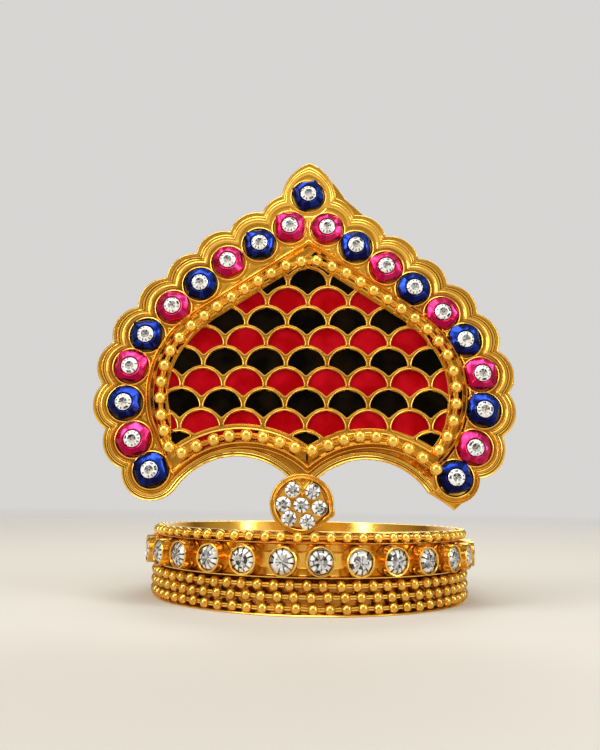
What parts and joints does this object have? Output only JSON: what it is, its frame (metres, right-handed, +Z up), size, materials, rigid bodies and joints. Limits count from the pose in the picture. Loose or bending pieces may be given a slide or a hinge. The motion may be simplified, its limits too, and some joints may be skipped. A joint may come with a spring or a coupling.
{
  "type": "deity crown",
  "caption": "Small gilt crown for a shrine figure: scalloped upright crest with enamel scale panel and foil studs on a round band set with clear stones and ball chain.",
  "frame": {"origin": "on the surface the band rests on, below the middle of the crest and at the middle of the band's depth", "axes": "+Z up, -Y is the front that the crest faces, +X to the viewer's right"},
  "size_m": [0.0562, 0.0534, 0.0624],
  "materials": {
    "gilt_plate": "satin-bright gilding on struck brass",
    "gilt_band": "bright gilding, plain inside",
    "gilt_chain": "polished gilt ball chain",
    "enamel_black": "glossy black enamel",
    "enamel_red": "glossy crimson enamel",
    "foil_blue": "blue lacquered foil round a clear crystal",
    "foil_pink": "pink lacquered foil round a clear crystal",
    "clear_stone": "foil-backed cut glass in gilt cups"
  },
  "bodies": {
    "root": {"crest_plate": "gilt_plate", "scale_lattice": "gilt_plate", "panel_chain": "gilt_chain", "enamel_black_1": "enamel_black", "enamel_red_2": "enamel_red", "enamel_black_3": "enamel_black", "enamel_red_4": "enamel_red", "enamel_black_5": "enamel_black", "enamel_red_6": "enamel_red", "enamel_black_7": "enamel_black", "enamel_red_8": "enamel_red", "enamel_black_9": "enamel_black", "stud_01": "foil_blue", "stud_02": "foil_pink", "stud_03": "foil_blue", "stud_04": "foil_pink", "stud_05": "foil_blue", "stud_06": "foil_pink", "stud_07": "foil_blue", "stud_08": "foil_pink", "stud_09": "foil_blue", "stud_10": "foil_pink", "stud_11": "foil_blue", "stud_12": "foil_pink", "stud_13": "foil_blue", "stud_14": "foil_pink", "stud_15": "foil_blue", "stud_16": "foil_pink", "stud_17": "foil_blue", "stud_18": "foil_pink", "stud_19": "foil_blue", "stud_20": "foil_pink", "stud_21": "foil_blue", "medallion_stones": "clear_stone", "base_band": "gilt_band", "cup_chain": "clear_stone", "ball_chain_base": "gilt_chain", "ball_chain_lower": "gilt_chain", "ball_chain_upper": "gilt_chain", "ball_chain_rim": "gilt_chain"}
  },
  "joints": []
}
